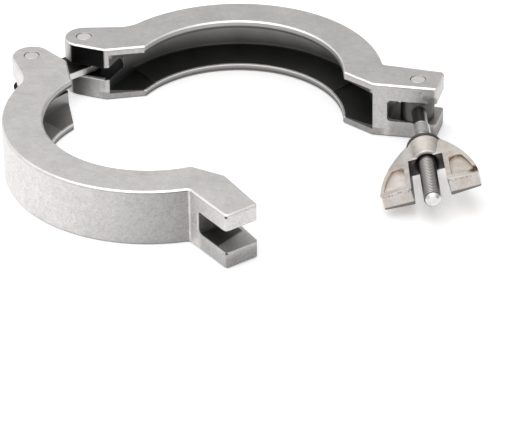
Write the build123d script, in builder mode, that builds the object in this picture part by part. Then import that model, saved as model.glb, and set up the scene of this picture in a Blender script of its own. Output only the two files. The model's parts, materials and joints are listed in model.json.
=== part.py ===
from build123d import *
import math
import os

# ---- driving dimensions, millimetres -------------------------------------
# clamp halves: two castings that share one plan, mirrored about the parting line
body_h = 17.0            # height of both halves
ring_r = 42.8            # outer wall of the ring
lip_r = 31.2             # inner edge of the lips
groove_r = 40.1          # bottom of the flange groove
lip_open = 12.5          # groove width at the lips
flank_deg = 15.0         # slope of the groove flanks
groove_root = 0.8        # rounding at the groove bottom
pocket_open = 10.5       # width of the cast pockets at the groove bottom
bolt_pocket_deg = 42.0   # how far the pockets run round from the parting line
hinge_pocket_deg = 24.0
relief_deg = 25.5        # slope of the relief faces beside the parting line
hinge_corner = (-41.1, 2.8)
bolt_corner = (39.9, 3.25)
edge_break = 0.45        # bevel on the outer edges of the castings
corner_round = 0.5       # rounding where the parting faces meet the relief faces

# hinge knuckle
knuckle_pin = (-49.6, 9.35)
knuckle_r = 5.8
knuckle_join_deg = 154.0 # where the back of the knuckle meets the ring
knuckle_fillet = 8.0
link_slot_z = 6.8
link_slot_h = 4.0
link_slot_r = 11.5       # reaches into the groove, so the link can turn past the corner

# bolt lugs
lug_pin = (51.9, 9.35)
lug_back = 15.4
lug_front = 4.85
bolt_lug_end = 58.4
fork_lug_end = 57.3
lug_round = 1.0
lug_slot_start = 44.2
lug_slot_h = 6.8
lug_slot_round = 1.2

# pins and link
pin_d = 4.5
pin_clear = 0.05         # radial play of a pin in its hole
pin_inset = 0.1          # pin ends below the faces
link_r = 4.8
link_t = 2.5
link_lift = 0.15         # link above the floor of its slots
link_bevel = 0.3

# swing bolt
bolt_open_deg = 17.8     # angle of the bolt from its closed place
stud_d = 4.9
stud_end = 53.5          # from the lug pin
stud_chamfer = 0.9
eye_r = 4.9
eye_h = 6.2

# washer and wing nut, distances along the bolt from the lug pin
washer_start = 25.2
washer_t = 1.0
washer_r = 5.3
nut_gap = 0.1            # between washer and nut
nut_roll_deg = 15.0      # wings turned about the bolt
nut_bore_d = 5.0
hub_rear_r = 5.2
hub_front_r = 4.1
hub_end = 33.6
wing_end = 48.6
wing_root_half = 2.8
wing_tip_half = 1.9
wing_tip_r = 14.1
wing_inner_r = 4.9
wing_corner = 0.9        # rounding of the outer tip corners
wing_waist = (11.1, 36.0)
panel_depth = 0.7
panel_front = 46.2         # front edge of the panels, from the lug pin
panel_in = 6.4             # their inner edge, from the bolt's axis
panel_out = 12.9           # their outer front corner
panel_shoulder = 37.4      # where the inner edge starts to curve
panel_crown = (8.2, 35.9)  # rear end of a panel
panel_turn = (10.0, 36.6)
panel_flank = (11.9, 41.3) # on the curved outer edge
nut_mouth_r = 3.3        # countersink at the front of the bore
nut_mouth_depth = 0.8

# how far the halves stand open
link_open_deg = 36.0     # link turned from its closed place
fork_open_deg = 38.3     # fork half turned from its closed place

mid_z = body_h / 2
tan_flank = math.tan(math.radians(flank_deg))


def circle_hit(start, slope_deg, radius):
    """Where a line from start, sloping inwards, first meets a circle about the origin."""
    ux = math.copysign(math.cos(math.radians(slope_deg)), -start[0])
    uy = math.sin(math.radians(slope_deg))
    b = start[0] * ux + start[1] * uy
    c = start[0] ** 2 + start[1] ** 2 - radius**2
    t = -b - math.sqrt(b * b - c)
    return (start[0] + t * ux, start[1] + t * uy)


def touch_point(centre, radius, point, side):
    """Where a line from point touches a circle."""
    dx = point[0] - centre[0]
    dy = point[1] - centre[1]
    a = math.atan2(dy, dx) + side * math.acos(radius / math.hypot(dx, dy))
    return (centre[0] + radius * math.cos(a), centre[1] + radius * math.sin(a))


def ring_point(angle_deg):
    a = math.radians(angle_deg)
    return (ring_r * math.cos(a), ring_r * math.sin(a))


hinge_lip = circle_hit(hinge_corner, relief_deg, lip_r)
bolt_lip = circle_hit(bolt_corner, relief_deg, lip_r)
knuckle_join = ring_point(knuckle_join_deg)
knuckle_front = touch_point(knuckle_pin, knuckle_r, hinge_corner, -1)
knuckle_back = touch_point(knuckle_pin, knuckle_r, knuckle_join, 1)
lug_join = (math.sqrt(ring_r**2 - lug_back**2), lug_back)


def groove_profile(side, bottom_width):
    """Section of the groove: its flanks run on past the lips, into the open ring."""
    mouth_r = lip_r - 3
    slope = (lip_open - bottom_width) / 2 / (groove_r - lip_r)
    bottom = bottom_width / 2
    mouth = bottom + slope * (groove_r - mouth_r)
    return (
        (side * mouth_r, mid_z - mouth),
        (side * groove_r, mid_z - bottom),
        (side * groove_r, mid_z + bottom),
        (side * mouth_r, mid_z + mouth),
    )


def clamp_half(lug_end, with_lug_pin):
    """One casting: a half ring with the flange groove, a slotted knuckle and a slotted lug."""
    with BuildPart() as half:
        # plan of the casting
        with BuildSketch() as plan:
            with BuildLine():
                Polyline(bolt_lip, bolt_corner, (lug_end, lug_front), (lug_end, lug_back), lug_join)
                ThreePointArc(lug_join, (0, ring_r), knuckle_join)
                Line(knuckle_join, knuckle_back)
                ThreePointArc(knuckle_back, (knuckle_pin[0] - knuckle_r, knuckle_pin[1]), knuckle_front)
                Polyline(knuckle_front, hinge_corner, hinge_lip)
                ThreePointArc(hinge_lip, (0, lip_r), bolt_lip)
            make_face()
            join = plan.vertices().sort_by_distance((*knuckle_join, 0))[0]
            fillet(join, knuckle_fillet)
            join = plan.vertices().sort_by_distance((*lug_join, 0))[0]
            fillet(join, lug_round * 1.5)
            ends = plan.vertices().filter_by_position(Axis.X, lug_end - 0.1, lug_end + 0.1)
            fillet(ends, lug_round)
            corner = plan.vertices().sort_by_distance((*bolt_corner, 0))[0]
            fillet(corner, corner_round)
            corner = plan.vertices().sort_by_distance((*hinge_corner, 0))[0]
            fillet(corner, corner_round)
        extrude(amount=body_h)

        # turned flange groove
        with BuildSketch(Plane.XZ) as groove:
            with BuildLine():
                Polyline(*groove_profile(1, lip_open - 2 * (groove_r - lip_r) * tan_flank), close=True)
            make_face()
            fillet(groove.vertices().group_by(Axis.X)[-1], groove_root)
        revolve(axis=Axis.Z, mode=Mode.SUBTRACT)

        # cast pockets, a little wider than the turned groove, at both ends of it
        for side, sweep_deg in ((1, bolt_pocket_deg), (-1, -hinge_pocket_deg)):
            with BuildSketch(Plane.XZ):
                with BuildLine():
                    Polyline(*groove_profile(side, pocket_open), close=True)
                make_face()
            revolve(axis=Axis.Z, revolution_arc=sweep_deg, mode=Mode.SUBTRACT)

        # link slot, milled round the knuckle pin and through into the groove
        with BuildSketch(Plane.XY.offset(link_slot_z)):
            with Locations(knuckle_pin):
                Circle(link_slot_r)
        extrude(amount=link_slot_h, mode=Mode.SUBTRACT)

        # bolt slot, open at the end, the front and the back of the lug
        with BuildSketch(Plane.XZ) as slot:
            with Locations(((lug_slot_start + lug_end + 6) / 2, mid_z)):
                Rectangle(lug_end + 6 - lug_slot_start, lug_slot_h)
            fillet(slot.vertices().group_by(Axis.X)[0], lug_slot_round)
        extrude(amount=-(lug_back + 5), mode=Mode.SUBTRACT)

        # bevel round the top and bottom faces
        rims = half.faces().group_by(Axis.Z)[0].edges() + half.faces().group_by(Axis.Z)[-1].edges()
        chamfer(rims, edge_break)

        # pin holes
        with Locations((*knuckle_pin, body_h)):
            Hole(pin_d / 2 + pin_clear)
        if with_lug_pin:
            with Locations((*lug_pin, body_h)):
                Hole(pin_d / 2 + pin_clear)
    return half.part


# ---- places --------------------------------------------------------------
link_len = 2 * knuckle_pin[1]
a = math.radians(-90 - link_open_deg)
fork_pin_at = (knuckle_pin[0] + link_len * math.cos(a), knuckle_pin[1] + link_len * math.sin(a))
a = math.radians(-fork_open_deg)
fork_centre = (
    fork_pin_at[0] - (knuckle_pin[0] * math.cos(a) + knuckle_pin[1] * math.sin(a)),
    fork_pin_at[1] - (knuckle_pin[0] * math.sin(a) - knuckle_pin[1] * math.cos(a)),
)
a = math.radians(-90 + bolt_open_deg)
bolt_dir = (math.cos(a), math.sin(a), 0)
side_dir = (-math.sin(a), math.cos(a), 0)
pin_origin = (lug_pin[0], lug_pin[1], mid_z)
roll = math.radians(nut_roll_deg)
wing_dir = (-math.cos(roll) * side_dir[0], -math.cos(roll) * side_dir[1], -math.sin(roll))
across = Vector(*wing_dir).cross(Vector(*bolt_dir))
bolt_plane = Plane(origin=pin_origin, x_dir=wing_dir, z_dir=bolt_dir)
nut_plane = Plane(origin=pin_origin, x_dir=wing_dir, z_dir=across)

# ---- bolt half: it carries the swing bolt, and its ring is centred on the origin
bolt_casting = clamp_half(bolt_lug_end, True)
with BuildPart() as bolt_half:
    add(bolt_casting)
bolt_half.part.label = "bolt_half"

# ---- fork half: the mirrored casting, swung open on the link
fork_casting = clamp_half(fork_lug_end, False)
with BuildPart() as fork_closed:
    add(fork_casting)
    mirror(about=Plane.XZ, mode=Mode.REPLACE)
with BuildPart() as fork_half:
    with Locations(Location((*fork_centre, 0), (0, 0, -fork_open_deg))):
        add(fork_closed.part)
fork_half.part.label = "fork_half"

# ---- link between the two knuckles
link_z = link_slot_z + link_lift
with BuildPart() as hinge_link:
    link_mid = ((knuckle_pin[0] + fork_pin_at[0]) / 2, (knuckle_pin[1] + fork_pin_at[1]) / 2)
    with BuildSketch(Plane.XY.offset(link_z)):
        with Locations(Location((*link_mid, 0), (0, 0, -90 - link_open_deg))):
            SlotCenterToCenter(link_len, 2 * link_r)
        with Locations(knuckle_pin, fork_pin_at):
            Circle(pin_d / 2 + pin_clear, mode=Mode.SUBTRACT)
    extrude(amount=link_t)
    rims = hinge_link.faces().filter_by(Axis.Z).edges()
    chamfer(rims.filter_by(lambda e: e.length > pin_d * math.pi + 0.5), link_bevel)
hinge_link.part.label = "hinge_link"

# ---- plain pins, ends just under the faces
def pin_at(place):
    with BuildPart() as pin:
        with BuildSketch(Plane.XY.offset(pin_inset)):
            with Locations(place):
                Circle(pin_d / 2)
        extrude(amount=body_h - 2 * pin_inset)
        chamfer(pin.edges().filter_by(GeomType.CIRCLE), 0.25)
    return pin.part


with BuildPart() as hinge_pin:
    add(pin_at(knuckle_pin))
hinge_pin.part.label = "hinge_pin"
with BuildPart() as fork_pin:
    add(pin_at(fork_pin_at))
fork_pin.part.label = "fork_pin"
with BuildPart() as bolt_pin:
    add(pin_at(lug_pin))
bolt_pin.part.label = "bolt_pin"

# ---- swing bolt: a round eye on the lug pin and a plain stud
with BuildPart() as swing_bolt:
    with BuildSketch(bolt_plane):
        Circle(stud_d / 2)
    extrude(amount=stud_end)
    tip = swing_bolt.faces().sort_by_distance(
        (pin_origin[0] + bolt_dir[0] * stud_end, pin_origin[1] + bolt_dir[1] * stud_end, mid_z)
    )[0]
    chamfer(tip.edges(), stud_chamfer)
    with BuildSketch(Plane.XY.offset(mid_z - eye_h / 2)):
        with Locations(lug_pin):
            Circle(eye_r)
    extrude(amount=eye_h)
    with Locations((*lug_pin, body_h)):
        Hole(pin_d / 2 + pin_clear)
swing_bolt.part.label = "swing_bolt"

# ---- washer
with BuildPart() as nut_washer:
    with BuildSketch(bolt_plane.offset(washer_start)):
        Circle(washer_r)
        Circle(nut_bore_d / 2, mode=Mode.SUBTRACT)
    extrude(amount=washer_t)
nut_washer.part.label = "nut_washer"

# ---- wing nut: a conical hub with two forward wings, panelled on both faces
nut_start = washer_start + washer_t + nut_gap
with BuildPart() as wing_nut:
    # plan of one wing, x across and y along the bolt
    with BuildSketch(nut_plane) as wing:
        with BuildLine():
            Line((0, nut_start), (hub_rear_r - 0.2, nut_start))
            ThreePointArc((hub_rear_r - 0.2, nut_start), wing_waist, (wing_tip_r, wing_end))
            Polyline(
                (wing_tip_r, wing_end),
                (wing_inner_r + 0.2, wing_end),
                (wing_inner_r, hub_end + 0.2),
                (0, hub_end + 0.2),
                (0, nut_start),
            )
        make_face()
        front = wing.vertices().group_by(Axis.Y)[-1].sort_by(Axis.X)
        fillet(front[1], wing_corner)
        fillet(wing.vertices().group_by(Axis.Y)[-1].sort_by(Axis.X)[0], wing_corner / 2)
    extrude(amount=wing_root_half, both=True)
nut_half = wing_nut.part
with BuildPart() as wing_nut:
    add(nut_half)
    mirror(about=Plane(origin=pin_origin, x_dir=bolt_dir, z_dir=wing_dir))
    # wings thin out towards their tips
    with BuildSketch(bolt_plane):
        with BuildLine():
            Polyline(
                (0, wing_root_half),
                (hub_rear_r, wing_root_half - 0.2),
                (wing_tip_r + 1, wing_tip_half),
                (wing_tip_r + 1, -wing_tip_half),
                (hub_rear_r, 0.2 - wing_root_half),
                (0, -wing_root_half),
                (-hub_rear_r, 0.2 - wing_root_half),
                (-wing_tip_r - 1, -wing_tip_half),
                (-wing_tip_r - 1, wing_tip_half),
                (-hub_rear_r, wing_root_half - 0.2),
                close=True,
            )
        make_face()
    extrude(amount=wing_end + 10, mode=Mode.INTERSECT)
    # hub
    with BuildSketch(bolt_plane.offset(nut_start)):
        Circle(hub_rear_r)
    with BuildSketch(bolt_plane.offset(hub_end)):
        Circle(hub_front_r)
    loft()
    # recessed panels
    for face in (1, -1):
        with BuildSketch(nut_plane.offset(face * (wing_tip_half - panel_depth))) as panel:
            for hand in (1, -1):
                with BuildLine():
                    shoulder = (hand * panel_in, panel_shoulder)
                    crown = (hand * panel_crown[0], panel_crown[1])
                    turn = (hand * panel_turn[0], panel_turn[1])
                    flank = (hand * panel_flank[0], panel_flank[1])
                    Line((hand * panel_in, panel_front), shoulder)
                    ThreePointArc(shoulder, crown, turn)
                    ThreePointArc(turn, flank, (hand * panel_out, panel_front))
                    Line((hand * panel_out, panel_front), (hand * panel_in, panel_front))
                make_face()
        extrude(amount=face * 4, mode=Mode.SUBTRACT)
    # bore with a countersunk mouth
    with BuildSketch(bolt_plane.offset(nut_start - 1)):
        Circle(nut_bore_d / 2)
    extrude(amount=hub_end - nut_start + 3, mode=Mode.SUBTRACT)
    with BuildSketch(bolt_plane.offset(hub_end - nut_mouth_depth)):
        Circle(nut_bore_d / 2)
    with BuildSketch(bolt_plane.offset(hub_end + 0.5)):
        Circle(nut_mouth_r + 0.5)
    loft(mode=Mode.SUBTRACT)
wing_nut.part.label = "wing_nut"

os.makedirs("parts", exist_ok=True)
export_step(bolt_half.part, "parts/bolt_half.step")
export_step(fork_half.part, "parts/fork_half.step")
export_step(hinge_link.part, "parts/hinge_link.step")
export_step(hinge_pin.part, "parts/hinge_pin.step")
export_step(fork_pin.part, "parts/fork_pin.step")
export_step(bolt_pin.part, "parts/bolt_pin.step")
export_step(swing_bolt.part, "parts/swing_bolt.step")
export_step(nut_washer.part, "parts/nut_washer.step")
export_step(wing_nut.part, "parts/wing_nut.step")
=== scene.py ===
import json
import math

import bmesh
import bpy
from mathutils import Matrix, Vector


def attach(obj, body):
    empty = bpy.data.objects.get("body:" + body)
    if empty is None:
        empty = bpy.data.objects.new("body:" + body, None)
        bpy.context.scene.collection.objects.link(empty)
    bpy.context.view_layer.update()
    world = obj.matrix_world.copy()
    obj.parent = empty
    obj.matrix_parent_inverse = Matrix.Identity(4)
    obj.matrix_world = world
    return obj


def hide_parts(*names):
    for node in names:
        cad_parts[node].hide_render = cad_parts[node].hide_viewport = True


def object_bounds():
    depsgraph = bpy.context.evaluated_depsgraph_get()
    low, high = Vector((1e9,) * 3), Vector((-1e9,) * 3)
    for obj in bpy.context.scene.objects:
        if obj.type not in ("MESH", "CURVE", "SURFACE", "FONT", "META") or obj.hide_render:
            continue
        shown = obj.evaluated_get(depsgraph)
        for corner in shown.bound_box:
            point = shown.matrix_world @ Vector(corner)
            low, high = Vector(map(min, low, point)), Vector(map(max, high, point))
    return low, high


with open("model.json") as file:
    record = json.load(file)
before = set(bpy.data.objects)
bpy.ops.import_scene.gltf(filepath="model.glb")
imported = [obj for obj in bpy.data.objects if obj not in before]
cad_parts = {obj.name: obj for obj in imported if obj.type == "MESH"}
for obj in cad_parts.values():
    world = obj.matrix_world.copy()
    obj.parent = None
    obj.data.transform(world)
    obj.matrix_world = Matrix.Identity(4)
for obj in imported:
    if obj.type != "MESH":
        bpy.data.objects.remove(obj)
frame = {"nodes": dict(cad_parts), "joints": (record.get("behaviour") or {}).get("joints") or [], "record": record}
cad_box = [list(corner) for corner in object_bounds()]
nodes = frame["nodes"]
joints = {joint["name"]: joint for joint in frame["joints"]}
mounts = {mount["name"]: mount for mount in frame["record"]["mounts"]}
scene = bpy.context.scene

# ---- places, metres -------------------------------------------------------
MM = 0.001
UP = Vector((0, 0, 1))
LEVEL = ((1, 0, 0), (0, 1, 0))  # two directions square to an upright axis
hinge_pin_at = Vector(joints["link_swing"]["pos_m"])
fork_pin_at = Vector(joints["fork_swing"]["pos_m"])
lug_pin_at = Vector(joints["bolt_swing"]["pos_m"])
bolt_axis = Vector(joints["nut_turn"]["axis"]).normalized()
side_axis = UP.cross(bolt_axis).normalized()
body_height = cad_box[1][2]
mid_height = body_height / 2
bolt_ring_at = Vector(mounts["flange_seat"]["pos_m"])
fork_heading = -math.radians(joints["fork_swing"]["range_deg"][1])
fork_turn = Matrix.Rotation(fork_heading, 3, "Z")
mirrored_hinge = Vector((hinge_pin_at.x, -hinge_pin_at.y, hinge_pin_at.z))
fork_ring_at = fork_pin_at - fork_turn @ mirrored_hinge
nut_roll = math.radians(15)
wing_axis = -math.cos(nut_roll) * side_axis - math.sin(nut_roll) * UP
face_axis = wing_axis.cross(bolt_axis)
studio_azimuth = math.radians(16.19)
studio_right = Vector((math.cos(studio_azimuth), math.sin(studio_azimuth), 0))

# ---- sizes of the pieces that their finishes follow, metres ----------------
# castings: from the ring's axis, along its own X axis and off the parting line
lip_radius = mounts["flange_seat"]["dims"]["r_mm"] * MM
lip_thickness = 2.25 * MM
groove_bottom = 40.1 * MM
groove_half_width = mid_height - lip_thickness
ring_outside = 42.8 * MM
edge_break = 0.45 * MM
link_slot_radius = 11.5 * MM
link_slot_floor = 6.8 * MM
link_slot_half = 2.0 * MM
link_slot_mid = link_slot_floor + link_slot_half
link_slot_top = link_slot_mid + link_slot_half
ear_start = 41.1 * MM  # where the knuckle's ears meet the groove
ear_face = 3.55 * MM  # their front faces, from the parting line
lug_slot_start = 44.2 * MM
lug_slot_half = 3.4 * MM
lug_front = 4.85 * MM  # its faces, from the parting line
lug_back = 15.4 * MM
lug_end = 57.3 * MM  # of the shorter lug
pin_radius = 2.25 * MM
link_top = 9.45 * MM
# bolt and nut: distances along the bolt from the lug pin
neck_end = 13.3 * MM
thread_start = 18.5 * MM
stud_end = 53.5 * MM
nut_start = 26.3 * MM
hub_end = 33.6 * MM
panel_rear = 35.9 * MM
panel_front = 46.2 * MM
wing_end = 48.6 * MM
panel_inside = 6.4 * MM  # from the bolt's axis


# ---- shader arithmetic ----------------------------------------------------
class Field:
    """A value that varies over a surface; arithmetic on it adds the nodes."""

    def __init__(self, finish, socket):
        self.finish = finish
        self.socket = socket

    def __add__(self, other):
        return self.finish.math("ADD", self, other)

    def __radd__(self, other):
        return self.finish.math("ADD", other, self)

    def __sub__(self, other):
        return self.finish.math("SUBTRACT", self, other)

    def __rsub__(self, other):
        return self.finish.math("SUBTRACT", other, self)

    def __mul__(self, other):
        return self.finish.math("MULTIPLY", self, other)

    def __rmul__(self, other):
        return self.finish.math("MULTIPLY", other, self)

    def __truediv__(self, other):
        return self.finish.math("DIVIDE", self, other)

    def __pow__(self, other):
        return self.finish.math("POWER", self, other)

    def size(self):
        return self.finish.math("ABSOLUTE", self)

    def least(self, other):
        return self.finish.math("MINIMUM", self, other)

    def most(self, other):
        return self.finish.math("MAXIMUM", self, other)


class Finish:
    """The nodes of a material or a world, and the fields made with them."""

    def __init__(self, owner):
        owner.use_nodes = True
        self.owner = owner
        self.tree = owner.node_tree
        self.tree.nodes.clear()

    def node(self, kind, settings=None, **inputs):
        """Adds a node, sets its options, and fills its inputs by name."""
        made = self.tree.nodes.new("ShaderNode" + kind)
        for key, value in (settings or {}).items():
            setattr(made, key, value)
        for key, value in inputs.items():
            self.fill(made.inputs[key.replace("_", " ")], value)
        return made

    def fill(self, socket, value):
        """Links a field or a socket to an input, or sets the input's own value."""
        if isinstance(value, Field):
            self.tree.links.new(value.socket, socket)
        elif isinstance(value, bpy.types.NodeSocket):
            self.tree.links.new(value, socket)
        else:
            socket.default_value = value

    def math(self, operation, *values):
        made = self.node("Math", {"operation": operation})
        for socket, value in zip(made.inputs, values):
            self.fill(socket, value)
        return Field(self, made.outputs[0])

    def place(self):
        """Object coordinates."""
        return self.node("TexCoord").outputs["Object"]

    def along(self, place, origin, direction):
        """How far a point lies from origin in a direction, in metres."""
        offset = self.node("VectorMath", {"operation": "SUBTRACT"})
        self.fill(offset.inputs[0], place)
        self.fill(offset.inputs[1], tuple(origin))
        dot = self.node("VectorMath", {"operation": "DOT_PRODUCT"})
        self.fill(dot.inputs[0], offset.outputs[0])
        self.fill(dot.inputs[1], tuple(direction))
        return Field(self, dot.outputs["Value"])

    def from_axis(self, place, origin, first, second):
        """Distance from an axis, given two directions square to it."""
        one = self.along(place, origin, first)
        two = self.along(place, origin, second)
        return (one * one + two * two) ** 0.5

    def step(self, value, low, high):
        """A smooth step from 0 at low to 1 at high."""
        ramp = self.node("MapRange", {"interpolation_type": "SMOOTHSTEP"})
        self.fill(ramp.inputs["Value"], value)
        self.fill(ramp.inputs["From Min"], low)
        self.fill(ramp.inputs["From Max"], high)
        return Field(self, ramp.outputs["Result"])

    def past(self, value, limit, soft):
        """0 up to a limit, rising to 1 over soft beyond it."""
        return self.step(value, limit, limit + soft)

    def within(self, value, limit, soft):
        """1 up to a limit, falling to 0 over soft beyond it."""
        return 1.0 - self.past(value, limit, soft)

    def band(self, value, low, high, soft):
        """1 between low and high, falling off over soft outside them."""
        return self.step(value, low - soft, low) * self.within(value, high, soft)

    def spot(self, place, centre, radius, soft):
        """1 inside a ball, falling off over soft outside it."""
        gap = self.node("VectorMath", {"operation": "DISTANCE"})
        self.fill(gap.inputs[0], place)
        self.fill(gap.inputs[1], tuple(centre))
        return self.within(Field(self, gap.outputs["Value"]), radius, soft)

    def grain(self, place, size, detail=2.0, stretch=None):
        """Noise about 0.5, with grains of a size in metres, longer along stretch's small values."""
        if stretch is not None:
            mapping = self.node("Mapping")
            self.fill(mapping.inputs["Vector"], place)
            self.fill(mapping.inputs["Scale"], stretch)
            place = mapping.outputs["Vector"]
        noise = self.node("TexNoise", Scale=1 / size, Detail=detail)
        self.fill(noise.inputs["Vector"], place)
        return Field(self, noise.outputs["Fac"])

    def blend(self, factor, low, high):
        """Colour between low and high."""
        mix = self.node("Mix", {"data_type": "RGBA"})
        self.fill(mix.inputs["Factor"], factor)
        colours = [socket for socket in mix.inputs if socket.type == "RGBA"]
        self.fill(colours[0], low)
        self.fill(colours[1], high)
        return next(socket for socket in mix.outputs if socket.type == "RGBA")

    def relief(self, height, depth, strength, edge):
        """A normal from a height field, depth in metres; sharp corners are rounded by edge."""
        rounded = self.node("Bevel", {"samples": 6}, Radius=edge)
        bump = self.node("Bump", Strength=strength, Distance=depth, Height=height)
        self.fill(bump.inputs["Normal"], rounded.outputs[0])
        return bump.outputs["Normal"]

    def metal(self, colour, roughness, normal):
        """The metal's shader and output; gives the material."""
        shader = self.node("BsdfPrincipled", Base_Color=colour, Roughness=roughness, Normal=normal)
        shader.inputs["Metallic"].default_value = 1.0
        output = self.node("OutputMaterial")
        self.tree.links.new(shader.outputs["BSDF"], output.inputs["Surface"])
        return self.owner


def new_finish(name):
    return Finish(bpy.data.materials.new(name))


def grey(level, warmth):
    """A linear metal colour; warmth moves it towards brown."""
    return (level, level * (1 - 0.5 * warmth), level * (1 - warmth), 1.0)


# ---- colours, linear ------------------------------------------------------
BLACK = (0.0, 0.0, 0.0, 1.0)
WHITE = (1.0, 1.0, 1.0, 1.0)
CAST_WHITE = (1.0, 0.978, 0.965, 1.0)
BLASTED_WHITE = (1.0, 0.95, 0.9, 1.0)
NUT_EDGE_HIGHLIGHT = (0.95, 0.93, 0.9, 1.0)
BROWN_STAIN = (0.27, 0.16, 0.09, 1.0)
RUST = (0.12, 0.05, 0.02, 1.0)
NUT_SHADE_AND_DASHES = (0.03, 0.029, 0.032, 1.0)
SHANK_SHADE_AND_ROOT_DARK = (0.05, 0.047, 0.042, 1.0)
PIN_GAP = (0.03, 0.028, 0.026, 1.0)
KNUCKLE_SHADE = (0.07, 0.068, 0.066, 1.0)
BOLT_HIGHLIGHT = (0.85, 0.84, 0.82, 1.0)
STUD_TIP = (0.8, 0.79, 0.77, 1.0)
TABLE_TOP = (0.8, 0.8, 0.805, 1.0)
TENT_LIGHT = (1.0, 0.995, 0.985, 1.0)


def painted(tone, mask, new_tone):
    """A tone with another laid over it where the mask is 1."""
    return tone + (new_tone - tone) * mask


# ---- finish of the castings -----------------------------------------------
class CastSurface:
    """Where a point of a casting lies, and the grains of its tumbled skin."""

    def __init__(self, f, ring_at, slot_pin_at, heading):
        turn = Matrix.Rotation(heading, 3, "Z")
        place = f.place()
        self.place = place
        self.height = f.along(place, (0, 0, 0), UP)
        self.from_mid = (self.height - mid_height).size()
        self.radius = f.from_axis(place, ring_at, *LEVEL)
        self.out = f.along(place, ring_at, turn @ Vector((1, 0, 0)))  # towards the lug
        self.aside = f.along(place, ring_at, turn @ Vector((0, 1, 0))).size()  # off the parting line
        self.rightward = f.along(place, ring_at, studio_right)
        self.from_slot_pin = f.from_axis(place, slot_pin_at, *LEVEL)
        self.cloud = f.grain(place, 9 * MM, 3.0)
        self.mottle = f.grain(place, 2.2 * MM, 4.0)
        self.rubs = f.step(f.grain(place, 1.6 * MM, 3.0, (0.25, 1.0, 1.0)), 0.56, 0.72)
        self.peen = f.grain(place, 0.75 * MM, 3.0)
        self.fine = f.grain(place, 0.24 * MM, 2.0)
        self.sides = f.within(self.from_mid, mid_height - 0.2 * MM, 0.15 * MM)


def cast_walls(f, s, level, shade, side_drop):
    """Peened outer walls and polished top, with painted highlights on the broken top edges, a painted shadow along
    the foot and painted shade on the lower walls and to the right.
    """
    ring_wall = f.band(s.radius, ring_outside - 0.5 * MM, ring_outside + 0.2 * MM, 0.1 * MM)
    to_right = f.past(s.rightward, -44 * MM, 68 * MM)
    low_lug = f.past(s.out, lug_slot_start - 0.2 * MM, 2 * MM) * f.within(s.height, 3 * MM, 4 * MM)
    low_end = f.past(s.out, lug_end - 0.7 * MM, 0.4 * MM) * f.within(s.height, 2 * MM, 4 * MM)
    under_edge = f.band(s.height, body_height - 0.8 * MM, body_height - 0.5 * MM, 0.05 * MM)
    # painted shade: the lower lug and its end darker, the ring's wall darker to the right, a darker line just
    # under the top edge, and the other walls darker by side_drop
    shaded = 1.0 - s.sides * (0.3 * low_lug + 0.24 * low_end + shade * ring_wall * to_right)
    shaded = (shaded - 0.12 * under_edge) * (1.0 - side_drop * s.sides * (1.0 - ring_wall))
    skin = 1.0 + 0.2 * (s.cloud - 0.5) + 0.22 * (s.mottle - 0.5) - 0.06 * s.rubs
    skin = skin + (0.42 + 0.3 * s.sides) * (s.fine - 0.5) + (0.2 + 0.25 * s.sides) * (s.peen - 0.5)
    tone = level * shaded * skin
    # painted highlight along the chamfer of the top edge
    edge = f.band(s.height, body_height - 0.42 * MM, body_height - 0.06 * MM, 0.03 * MM)
    tone = painted(tone, edge, 0.74 + 0.4 * (s.cloud - 0.5) + 0.3 * s.fine)
    # painted shadow along the foot, and painted shade on the lower lip's faces by the parting line
    foot = f.band(s.height, 0.0, 0.4 * MM, 0.1 * MM)
    low_face = f.past(s.height, 0.4 * MM, 0.1 * MM) * f.within(s.height, 2.4 * MM, 0.4 * MM)
    low_face = low_face * f.within(s.out.size(), 42 * MM, 2 * MM) * f.within(s.aside, 8 * MM, 1 * MM)
    return tone * (1.0 - 0.6 * foot) * (1.0 - 0.35 * low_face)


def cast_lips(f, s, tone):
    """Painted shade on the inside faces of the lips, darker towards the table below and the groove above."""
    darkest, rise = 0.1, 0.34
    inside = f.within(s.radius, lip_radius + 0.15 * MM, 0.15 * MM)
    inside = inside * f.past(s.from_mid, groove_half_width - 0.25 * MM, 0.15 * MM)
    low = f.past(s.height, edge_break, 0.15 * MM) * f.within(s.height, lip_thickness - 0.25 * MM, 0.25 * MM)
    top = f.band(s.height, body_height - lip_thickness, body_height - 0.5 * MM, 0.1 * MM)
    # painted shade on the inside faces of the lower and upper lips
    tone = painted(tone, inside * low, darkest + rise * f.past(s.height, 0.5 * MM, 1.6 * MM))
    return painted(tone, inside * top, darkest + rise * f.past(s.height, 15.2 * MM, 0.6 * MM))


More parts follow.
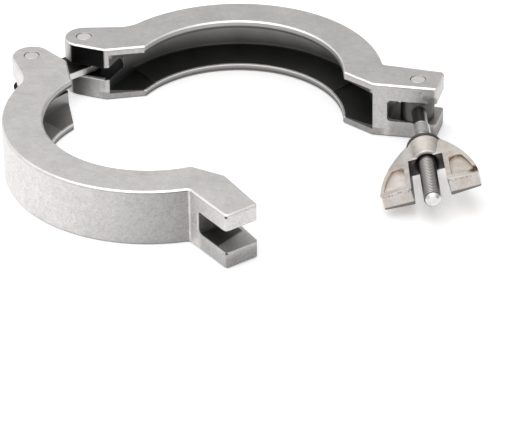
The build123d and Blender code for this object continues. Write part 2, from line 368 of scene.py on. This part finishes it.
def cast_slots(f, s, tone):
    """Painted shade in the link slot, on the knuckle ears and in the lug slot, and painted highlights on the rims
    of the lower ear and lip.
    """
    link_slot_tone, lug_slot_tone, ear_tone, rim_highlight_tone = 0.02, 0.06, 0.05, 0.9
    ear = f.within(s.out, -ear_start - 0.5 * MM, 0.4 * MM) * f.within(s.aside, ear_face + 0.35 * MM, 0.4 * MM)
    top_ear = f.past(s.height, link_slot_top - 0.2 * MM, 0.3 * MM)
    top_ear = ear * top_ear * f.within(s.height, body_height - 0.55 * MM, 0.15 * MM)
    slot = f.within((s.height - link_slot_mid).size(), link_slot_half, 0.08 * MM)
    slot = slot * f.within(s.from_slot_pin, link_slot_radius - 0.3 * MM, 0.4 * MM)
    # painted shade in the link slot, and a painted dark reflection on the upper knuckle ear's face
    tone = painted(tone, top_ear.most(slot), link_slot_tone)

    # the lug's slot has painted shade behind its faces, fading past a slanting line where it opens to the light
    lug_slot = f.past(s.out, lug_slot_start - 0.2 * MM, 0.3 * MM)
    lug_slot = lug_slot * f.band(s.aside, lug_front + 0.45 * MM, lug_back - 0.5 * MM, 0.35 * MM)
    lug_slot = lug_slot * f.within(s.from_mid, lug_slot_half + 0.02 * MM, 0.13 * MM)
    slanted = s.out - 0.25 * (s.aside - 10 * MM)
    lug_slot = lug_slot * (1.0 - 0.85 * f.past(slanted, 51.2 * MM, 1 * MM))
    tone = painted(tone, 0.9 * lug_slot, lug_slot_tone)

    low_ear = f.within(s.height, link_slot_floor - 0.5 * MM, 0.15 * MM) * f.within(s.out, -51 * MM, 9.5 * MM)
    # painted shade on the lower knuckle ear
    tone = painted(tone, 0.9 * ear * low_ear, ear_tone)
    ear_rim = ear * f.band(s.height, link_slot_floor - 0.3 * MM, link_slot_floor, 0.08 * MM)
    lip_rim = f.within(s.radius, lip_radius + 0.45 * MM, 0.15 * MM)
    lip_rim = lip_rim * f.band(s.height, lip_thickness - 0.2 * MM, lip_thickness + 0.25 * MM, 0.1 * MM)
    # painted highlights on the rims of the lower knuckle ear and the lower lip
    return painted(tone, 0.9 * ear_rim.most(lip_rim), rim_highlight_tone)


def cast_groove(f, s, tone, stain_and_shade, gain):
    """Painted shade in the groove: black flanks and a greyer back wall, painted lighter towards its top and to the
    right.
    """
    # painted shade: the groove's tone, lifted on its back wall towards the top and the right
    groove = f.band(s.radius, lip_radius + 0.6 * MM, groove_bottom + 0.05 * MM, 0.12 * MM)
    groove = groove * f.within(s.from_mid, groove_half_width + 0.05 * MM, 0.2 * MM)
    back = f.past(s.radius, groove_bottom - 1.2 * MM, 1 * MM) * f.past(s.height, 3.2 * MM, 9 * MM)
    to_right = f.past(s.rightward, 2 * MM, 24 * MM)
    lightened = 1.0 + gain * back * (1.0 + 0.5 * to_right)
    return painted(tone, groove, stain_and_shade * lightened * (0.5 + 0.7 * s.cloud + 0.3 * s.fine))


def cast_lug(f, s, tone):
    """A painted highlight at the inner end of the lug's slot, and painted light on the end face."""
    rim = f.band(s.out, lug_slot_start - 0.45 * MM, lug_slot_start - 0.05 * MM, 0.1 * MM)
    rim = rim * f.past(s.aside, lug_back - 0.4 * MM, 0.2 * MM)
    rim = rim * f.within(s.from_mid, lug_slot_half - 0.8 * MM, 0.6 * MM)
    # painted highlight on the rim at the slot's inner end
    tone = painted(tone, 0.8 * rim, 0.95)
    # painted light: the end face lighter
    return tone * (1.0 + 0.16 * f.past(s.out, lug_end + 0.3 * MM, 0.4 * MM) * s.sides)


def casting_finish(name, ring_at, slot_pin_at, heading, level, shade, side_drop, stain_and_shade, gain, marks):
    """Tumbled stainless casting: peened walls, painted highlights on its edges and painted shade in its groove.

    heading turns the ring's own X axis. level is the tone of the walls, shade how much painted shade
    darkens the ring's wall to the right, and side_drop the other walls. stain_and_shade is the tone
    of the painted shade in the groove and gain how much lighter its back wall is painted. marks are
    dark dents and smears: place, radius in metres and strength.
    """
    f = new_finish(name)
    s = CastSurface(f, ring_at, slot_pin_at, heading)
    tone = cast_walls(f, s, level, shade, side_drop)
    tone = cast_lips(f, s, tone)
    tone = cast_slots(f, s, tone)
    tone = cast_groove(f, s, tone, stain_and_shade, gain)
    tone = cast_lug(f, s, tone)
    for at, size, strength in marks:
        pitted = (0.4 + 1.2 * s.peen).least(1.0)
        tone = tone * (1.0 - strength * f.spot(s.place, at, size, size) * pitted)
    colour = f.blend(tone, BLACK, CAST_WHITE)
    roughness = 0.4 + 0.1 * s.cloud + 0.08 * s.fine
    skin = s.peen * (0.3 + 0.9 * s.sides) + s.fine * 0.3
    return f.metal(colour, roughness, f.relief(skin, depth=0.035 * MM, strength=0.55, edge=0.28 * MM))


# ---- finishes of the machined pieces ---------------------------------------
def plate_finish(name, level, direction):
    """Satin stainless plate, brushed along its length, with painted shade where it lies under a knuckle."""
    f = new_finish(name)
    place = f.place()
    turned = f.node("Mapping")
    f.fill(turned.inputs["Vector"], place)
    f.fill(turned.inputs["Rotation"], (0, 0, -math.atan2(direction.y, direction.x)))
    brushed = f.grain(turned.outputs["Vector"], 0.3 * MM, 3.0, (0.08, 1.0, 1.0))
    cloud = f.grain(place, 5 * MM)
    height = f.along(place, (0, 0, 0), UP)
    # painted shade on the link's top where it lies under the knuckle
    shade_under_knuckle = f.within(f.from_axis(place, hinge_pin_at, *LEVEL), 9 * MM, 4 * MM)
    shade_under_knuckle = shade_under_knuckle * f.past(height, link_top - 0.35 * MM, 0.2 * MM)
    clean = f.blend(cloud * 0.5 + brushed * 0.5, grey(level * 0.92, 0.03), grey(level * 1.06, 0.02))
    colour = f.blend(shade_under_knuckle, clean, KNUCKLE_SHADE)
    bump = f.relief(brushed, depth=0.02 * MM, strength=0.5, edge=0.2 * MM)
    return f.metal(colour, 0.28 + 0.16 * brushed, bump)


def pin_finish(name, pin_at, level):
    """Turned pin: fine rings on its ends and a dark line where it meets its hole, deepened by painted shade on one
    side.
    """
    f = new_finish(name)
    place = f.place()
    ring_pitch = 1.1 * MM
    gap_side = Vector((-0.45, 0.89, 0))  # where the hole's edge hides the light
    radius = f.from_axis(place, pin_at, *LEVEL)
    spin = f.node("CombineXYZ")
    f.fill(spin.inputs["X"], radius / ring_pitch + f.grain(place, 1.2 * MM) * 0.25)
    rings = f.node("TexWave", {"wave_type": "BANDS", "bands_direction": "X"}, Scale=1.0, Distortion=0.0)
    f.fill(rings.inputs["Vector"], spin.outputs[0])
    turned = Field(f, rings.outputs["Fac"])
    blotch = f.grain(place, 0.9 * MM, 4.0)
    # painted shade: the dark line where the pin meets its hole is darker on the side where the hole's edge hides
    # the light
    shaded_side = f.past(f.along(place, pin_at, gap_side), -0.6 * MM, 1.5 * MM)
    rim = f.past(radius, pin_radius - 0.25 * MM, 0.12 * MM) * (0.25 + 0.75 * shaded_side)
    face = f.blend(blotch * 0.7 + turned * 0.3, grey(level * 0.84, 0.06), grey(level * 1.08, 0.03))
    colour = f.blend(rim, face, PIN_GAP)
    bump = f.relief(turned * 0.4 + blotch, depth=0.02 * MM, strength=0.5, edge=0.05 * MM)
    return f.metal(colour, 0.3 + 0.2 * blotch, bump)


def bolt_finish(name, level):
    """Stainless bolt: satin, darker in the roots of its thread, with painted shade on its shank, a painted
    highlight on its collar and painted light on its plain part.
    """
    f = new_finish(name)
    place = f.place()
    radius = f.from_axis(place, lug_pin_at, side_axis, UP)
    aside = f.along(place, lug_pin_at, side_axis)
    run = f.along(place, lug_pin_at, bolt_axis)
    blotch = f.grain(place, 1.4 * MM, 4.0)
    fine = f.grain(place, 0.25 * MM, 3.0)
    root = f.within(radius, 2.2 * MM, 0.16 * MM) * f.past(run, thread_start - 0.5 * MM, 1 * MM)
    root = root * f.within(run, stud_end - 1.1 * MM, 0.4 * MM)
    # painted shade on the shank behind the neck, left off along one side
    unshaded_side = f.past(aside, 0.9 * MM, 0.6 * MM) * f.past(run, 5 * MM, 2 * MM)
    shank = f.within(run, neck_end - 0.7 * MM, 0.5 * MM) * (1.0 - unshaded_side)
    # painted highlight on the collar, and painted light on the plain part before the thread
    collar = f.band(run, neck_end - 0.2 * MM, neck_end + 0.7 * MM, 0.2 * MM)
    plain = f.band(run, neck_end + 0.9 * MM, thread_start - 0.1 * MM, 0.3 * MM)
    pits = f.past(run, stud_end - 0.2 * MM, 0.15 * MM) * f.step(blotch, 0.3, 0.7)
    tip = 0.9 * f.past(run, stud_end - 1.2 * MM, 0.3 * MM) * (1.0 - 0.4 * pits)
    steel = f.blend(blotch * 0.6 + fine * 0.4, grey(level * 0.85, 0.06), grey(level * 1.1, 0.05))
    bright = f.blend(collar.most(plain * 0.35), steel, BOLT_HIGHLIGHT)
    darkened = f.blend((root * 0.9).most(shank * 0.86), bright, SHANK_SHADE_AND_ROOT_DARK)
    colour = f.blend(tip, darkened, STUD_TIP)
    roughness = 0.3 + 0.2 * fine + 0.15 * root
    return f.metal(colour, roughness, f.relief(fine, depth=0.03 * MM, strength=0.5, edge=0.08 * MM))


def washer_finish(name, level):
    """Pressed steel washer, evenly dull; its dark level is painted shade."""
    f = new_finish(name)
    fine = f.grain(f.place(), 0.5 * MM, 3.0)
    colour = f.blend(fine, grey(level * 0.9, 0.03), grey(level * 1.08, 0.03))
    bump = f.relief(fine, depth=0.02 * MM, strength=0.5, edge=0.12 * MM)
    return f.metal(colour, 0.3 + 0.15 * fine, bump)


# ---- finish of the wing nut -----------------------------------------------
class NutSurface:
    """Where a point of the nut lies, and the grains of its blasted skin."""

    def __init__(self, f):
        place = f.place()
        self.place = place
        self.run = f.along(place, lug_pin_at, bolt_axis)
        self.out = f.along(place, lug_pin_at, wing_axis)
        self.lift = f.along(place, lug_pin_at, face_axis)
        self.span = self.out.size()
        self.depth = self.lift.size()
        self.radius = (self.span * self.span + self.depth * self.depth) ** 0.5
        self.cloud = f.grain(place, 3.2 * MM, 4.0)
        self.peen = f.grain(place, 0.55 * MM, 3.0)
        self.fine = f.grain(place, 0.16 * MM, 2.0)
        self.tips = f.past(self.run, wing_end - 0.3 * MM, 0.2 * MM)
        self.wing = f.past(self.span, panel_inside - 0.3 * MM, 0.2 * MM)
        self.wing = self.wing * f.past(self.run, panel_rear - 0.2 * MM, 0.3 * MM)
        self.wing = self.wing * f.within(self.run, panel_front + 0.1 * MM, 0.15 * MM)
        self.recess = f.within(self.depth, 1.2 * MM, 0.2 * MM)
        # the top of the hub's rim, which gets a painted highlight
        self.hub_rim = f.band(self.run, hub_end - 0.6 * MM, hub_end + 0.1 * MM, 0.12 * MM)
        self.hub_rim = self.hub_rim * f.band(self.radius, 3.6 * MM, 4.5 * MM, 0.1 * MM)
        self.hub_rim = self.hub_rim * f.past(self.lift, 0.5 * MM, 1 * MM)


def nut_skin(f, s, level):
    """The blasted walls: lighter wings, darker tips, painted shade at one wing's root, and painted highlights on
    the hub's rim and the wings' edges.
    """
    # painted shade where one wing meets the hub
    root = f.past(s.out, 5.5 * MM, 1.5 * MM) * f.within(s.run, 34.5 * MM, 2.5 * MM)
    here = 1.0 + 0.35 * (s.fine - 0.5) + 0.3 * (s.peen - 0.5) - 0.2 * s.tips - 0.14 * root
    here = here + s.wing * (0.08 * (1.0 - s.recess) + 0.1 * s.recess)
    plain = f.blend(level * here, BLACK, BLASTED_WHITE)
    # painted highlights on the wings' front and panel edges and on the hub's rim
    front_edge = f.band(s.run, wing_end - 0.7 * MM, wing_end - 0.2 * MM, 0.12 * MM)
    panel_edge = f.band(s.run, panel_front + 0.4 * MM, panel_front + 0.7 * MM, 0.1 * MM)
    brow = front_edge.most(panel_edge * 0.5) * f.past(s.span, 5.5 * MM, 0.5 * MM)
    return f.blend(s.hub_rim.most(brow) * 0.75, plain, NUT_EDGE_HIGHLIGHT)


def nut_brown(f, s):
    """Brown stain in clouds and round the recessed panels, more of it on the rusty wing."""
    rusty_wing = f.step(s.out * -1.0, 5.8 * MM, 6.4 * MM)
    stain_and_shade = f.step(s.cloud + 0.35 * s.fine, 0.5, 0.9)
    wall = s.wing * f.band(s.depth, 1.28 * MM, 1.86 * MM, 0.06 * MM)
    return stain_and_shade * 0.25 + wall * (0.5 + 0.3 * rusty_wing) + 0.18 * s.recess * s.wing * rusty_wing


def nut_dark(f, s):
    """Painted shade between the wings, in the bore's mouth, at the rear and along the lower edges of the wings'
    front ends, and dark dashes along their top edges.
    """
    between = f.past(s.run, hub_end - 0.3 * MM, 0.2 * MM) * f.within(s.span, 5.05 * MM, 0.2 * MM)
    between = between * f.within(s.depth, 2.4 * MM, 0.2 * MM) * (1.0 - s.hub_rim)
    mouth = f.past(s.run, hub_end - 1 * MM, 0.2 * MM) * f.within(s.radius, 3.4 * MM, 0.2 * MM)
    rear = f.within(s.run, nut_start + 0.1 * MM, 0.4 * MM)
    lower = s.tips * f.within(s.lift, -1.75 * MM, 0.55 * MM)
    dashes = s.tips * f.past(s.lift, 1.4 * MM, 0.2 * MM) * f.step(s.peen, 0.5, 0.62)
    return between.most(mouth).most(rear * 0.9).most(lower * 0.8).most(dashes * 0.6)


def nut_finish(name, level):
    """Warm blasted casting, browner round its panels, with rust at one wing's outer edge."""
    f = new_finish(name)
    s = NutSurface(f)
    rust_at = lug_pin_at - 12.7 * MM * wing_axis + 45.6 * MM * bolt_axis + 1.5 * MM * face_axis
    rust = f.spot(s.place, rust_at, 1 * MM, 1.7 * MM) * f.step(s.peen + 0.5 * s.fine, 0.35, 0.7)
    browned = f.blend(nut_brown(f, s), nut_skin(f, s, level), BROWN_STAIN)
    # painted shade between the wings, in the bore's mouth, at the rear and under the wings' front ends, with dark
    # dashes along their tops
    shaded_and_dashed = f.blend(nut_dark(f, s) * 0.93, browned, NUT_SHADE_AND_DASHES)
    colour = f.blend(rust, shaded_and_dashed, RUST)
    roughness = 0.34 + 0.14 * s.fine + 0.1 * s.recess + 0.3 * rust
    bump = f.relief(s.peen * 0.8 + s.fine * 0.4, depth=0.035 * MM, strength=0.6, edge=0.22 * MM)
    return f.metal(colour, roughness, bump)


# ---- pieces ---------------------------------------------------------------
def piece(name, bm, material, body):
    """A finished mesh object in place, riding on its body."""
    mesh = bpy.data.meshes.new(name)
    bm.to_mesh(mesh)
    bm.free()
    mesh.shade_smooth()
    mesh.set_sharp_from_angle(angle=math.radians(32))
    mesh.materials.append(material)
    made = bpy.data.objects.new(name, mesh)
    scene.collection.objects.link(made)
    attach(made, body)
    return made


def everything(bm):
    return bm.verts[:] + bm.edges[:] + bm.faces[:]


def cut_off(bm, at, direction):
    """Removes what lies past a plane and leaves the cut open."""
    bmesh.ops.bisect_plane(bm, geom=everything(bm), plane_co=at, plane_no=direction, clear_outer=True)


def close_up(bm):
    """Fills the open rims and turns the faces outwards."""
    rims = [edge for edge in bm.edges if edge.is_boundary]
    bmesh.ops.holes_fill(bm, edges=rims, sides=0)
    bmesh.ops.recalc_face_normals(bm, faces=bm.faces)


def rolled_thread(length, pitch, crest, root, bevel, turn_steps):
    """A threaded rod along Z from the origin, bevelled at its far end."""
    bm = bmesh.new()
    flat = 0.1 * pitch
    outline = [(root, 0), (root, flat), (crest, 0.5 * pitch - flat / 2), (crest, 0.5 * pitch + flat / 2)]
    outline += [(root, pitch - flat), (root, pitch)]
    points = [bm.verts.new((r, 0, z - pitch)) for r, z in outline]
    for one, two in zip(points, points[1:]):
        bm.edges.new((one, two))
    turns = math.ceil(length / pitch) + 2
    bmesh.ops.spin(
        bm,
        geom=bm.verts[:] + bm.edges[:],
        cent=(0, 0, 0),
        axis=(0, 0, 1),
        dvec=(0, 0, pitch / turn_steps),
        angle=2 * math.pi * turns,
        steps=turns * turn_steps,
    )
    bmesh.ops.remove_doubles(bm, verts=bm.verts, dist=0.004 * MM)
    cut_off(bm, (0, 0, 0), (0, 0, -1))
    cut_off(bm, (0, 0, length), (0, 0, 1))
    bevel_slope = 0.95
    for vert in bm.verts:
        radius = math.hypot(vert.co.x, vert.co.y)
        most = crest - max(0.0, vert.co.z - (length - bevel)) * bevel_slope
        if radius > most:
            vert.co.x *= most / radius
            vert.co.y *= most / radius
    close_up(bm)
    return bm


def bolt_shank():
    """The eye and the plain shank as turned, with a slightly narrower neck behind the eye."""
    bm = bmesh.new()
    bm.from_mesh(nodes["swing_bolt"].data)
    bmesh.ops.remove_doubles(bm, verts=bm.verts, dist=0.001 * MM)
    cut_off(bm, lug_pin_at + bolt_axis * (thread_start + 0.4 * MM), bolt_axis)
    close_up(bm)
    for run in (neck_end - 0.1 * MM, neck_end + 0.3 * MM):
        bmesh.ops.bisect_plane(
            bm, geom=everything(bm), plane_co=lug_pin_at + bolt_axis * run, plane_no=bolt_axis
        )
    neck_start, shank_radius, narrowing = 3.5 * MM, 2.5 * MM, 0.14
    for vert in bm.verts:
        offset = vert.co - lug_pin_at
        run = offset.dot(bolt_axis)
        aside = offset - bolt_axis * run
        if neck_start < run < neck_end and aside.length < shank_radius:
            vert.co -= aside * narrowing
    return bm


def swing_bolt(material):
    """The eye and shank, then the threaded stud."""
    bm = bolt_shank()
    rod = rolled_thread(
        stud_end - thread_start,
        pitch=0.8 * MM,
        crest=2.45 * MM,
        root=2.08 * MM,
        bevel=1.1 * MM,
        turn_steps=28,
    )
    turn = bolt_axis.to_track_quat("Z", "Y").to_matrix().to_4x4()
    seat = Matrix.Translation(lug_pin_at + bolt_axis * thread_start)
    bmesh.ops.transform(rod, matrix=seat @ turn, verts=rod.verts)
    spare = bpy.data.meshes.new("thread")
    rod.to_mesh(spare)
    rod.free()
    bm.from_mesh(spare)
    bpy.data.meshes.remove(spare)
    made = piece("threaded_bolt", bm, material, "swing_bolt")
    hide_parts("swing_bolt")


def dress(node_name, material):
    """Gives a machined or cast piece its finish, smooth across its small facets."""
    obj = nodes[node_name]
    obj.data.materials.clear()
    obj.data.materials.append(material)
    for polygon in obj.data.polygons:
        polygon.use_smooth = True
        polygon.material_index = 0
    weld = obj.modifiers.new("weld", "WELD")
    weld.merge_threshold = 0.001 * MM
    split = obj.modifiers.new("crisp edges", "EDGE_SPLIT")
    split.split_angle = math.radians(26)


# ---- studio ---------------------------------------------------------------
def studio_camera():
    """A long lens, aimed at a point on the table between the halves."""
    aim = Vector((21.89, -51.06, 0)) * MM
    distance = 811.4 * MM
    elevation, roll = math.radians(31.89), math.radians(-0.622)
    away = Vector((-math.sin(studio_azimuth), math.cos(studio_azimuth), 0))
    forward = away * math.cos(elevation) - UP * math.sin(elevation)
    right = forward.cross(UP).normalized()
    right = math.cos(roll) * right + math.sin(roll) * right.cross(forward)
    up = right.cross(forward)
    data = bpy.data.cameras.new("studio camera")
    data.sensor_width = 36
    data.lens = 202.4
    data.clip_start = 0.01
    data.clip_end = 20
    camera = bpy.data.objects.new("studio camera", data)
    scene.collection.objects.link(camera)
    turn = Matrix((right, up, -forward)).transposed().to_4x4()
    camera.matrix_world = Matrix.Translation(aim - forward * distance) @ turn
    scene.camera = camera


def soft_box(name, place, width, height, power):
    """A rectangular lamp that faces the middle of the clamp."""
    clamp_middle = Vector((0, -0.05, 0))
    data = bpy.data.lights.new(name, "AREA")
    data.shape = "RECTANGLE"
    data.size = width
    data.size_y = height
    data.energy = power
    lamp = bpy.data.objects.new(name, data)
    scene.collection.objects.link(lamp)
    turn = (place - clamp_middle).to_track_quat("Z", "Y").to_matrix().to_4x4()
    lamp.matrix_world = Matrix.Translation(place) @ turn


def floor_finish():
    """A pale table with a painted glow, stronger at the left."""
    f = new_finish("pale table")
    across = f.along(f.place(), (0, 0, 0), (1, 0.15, 0))
    # painted glow: the table's emission, stronger at the left
    glow = 0.26 + 0.2 * f.within(across, -60 * MM, 100 * MM)
    shader = f.node("BsdfPrincipled")
    shader.inputs["Base Color"].default_value = TABLE_TOP
    shader.inputs["Roughness"].default_value = 0.9
    shader.inputs["Specular IOR Level"].default_value = 0.0
    f.fill(shader.inputs["Emission Color"], f.blend(glow, BLACK, WHITE))
    shader.inputs["Emission Strength"].default_value = 1.0
    output = f.node("OutputMaterial")
    f.tree.links.new(shader.outputs["BSDF"], output.inputs["Surface"])
    return f.owner


def studio_floor():
    bm = bmesh.new()
    bmesh.ops.create_grid(bm, x_segments=1, y_segments=1, size=4.0)
    mesh = bpy.data.meshes.new("table")
    bm.to_mesh(mesh)
    bm.free()
    mesh.materials.append(floor_finish())
    table = bpy.data.objects.new("table", mesh)
    scene.collection.objects.link(table)


def studio_air():
    """A soft tent of light: brighter overhead and to the left."""
    f = Finish(bpy.data.worlds.new("studio air"))
    scene.world = f.owner
    direction = f.node("TexCoord").outputs["Generated"]
    lift = f.along(direction, (0, 0, 0), UP)
    left = f.along(direction, (0, 0, 0), (-0.96, -0.28, 0))
    level = 0.34 + 0.5 * f.step(lift, 0.05, 0.75) + 0.3 * left * (1.0 - f.step(lift, 0.1, 0.8))
    backdrop = f.node("Background", Strength=level)
    backdrop.inputs["Color"].default_value = TENT_LIGHT
    output = f.node("OutputWorld")
    f.tree.links.new(backdrop.outputs[0], output.inputs["Surface"])


# ---- the clamp ------------------------------------------------------------
# smears on the bolt half's front face: along and up the face, radius, mm, and strength
front_smears = ((57.3, 12.6, 1.0, 0.5), (55.2, 13.6, 0.6, 0.3), (44.0, 2.0, 0.5, 0.3), (53.6, 15.2, 0.4, 0.3))
smears = [
    (bolt_ring_at + Vector((along * MM, lug_front, up * MM)), size * MM, strength)
    for along, up, size, strength in front_smears
]
lug_corner = fork_ring_at + fork_turn @ Vector((lug_end - 0.35 * MM, 0.35 * MM - lug_back, 0))
nicks = [(lug_corner + UP * up * MM, 0.28 * MM, 0.9) for up in (16.1, 4.7)]
bolt_casting = casting_finish(
    "bolt half casting",
    bolt_ring_at,
    hinge_pin_at,
    heading=0.0,
    level=0.585,
    shade=0.1,
    side_drop=0.1,
    stain_and_shade=0.085,
    gain=2.6,
    marks=smears,
)
fork_casting = casting_finish(
    "fork half casting",
    fork_ring_at,
    fork_pin_at,
    heading=fork_heading,
    level=0.66,
    shade=0.55,
    side_drop=0.02,
    stain_and_shade=0.3,
    gain=0.5,
    marks=nicks,
)
dress("bolt_half", bolt_casting)
dress("fork_half", fork_casting)
dress("hinge_link", plate_finish("link plate", 0.66, fork_pin_at - hinge_pin_at))
dress("hinge_pin", pin_finish("hinge pin end", hinge_pin_at, 0.85))
dress("fork_pin", pin_finish("fork pin end", fork_pin_at, 0.82))
dress("bolt_pin", pin_finish("bolt pin end", lug_pin_at, 0.82))
# the washer's dark level is painted shade
dress("nut_washer", washer_finish("washer steel", 0.12))
dress("wing_nut", nut_finish("wing nut casting", 0.76))
bolt_steel = bolt_finish("bolt steel", 0.42)
dress("swing_bolt", bolt_steel)
swing_bolt(bolt_steel)

studio_air()
studio_floor()
soft_box("overhead box", Vector((-0.25, -0.15, 1.2)), width=1.3, height=1.1, power=7)
soft_box("front box", Vector((0.35, -1.0, 1.4)), width=1.0, height=0.7, power=5)
scene.view_settings.view_transform = "Standard"
studio_camera()
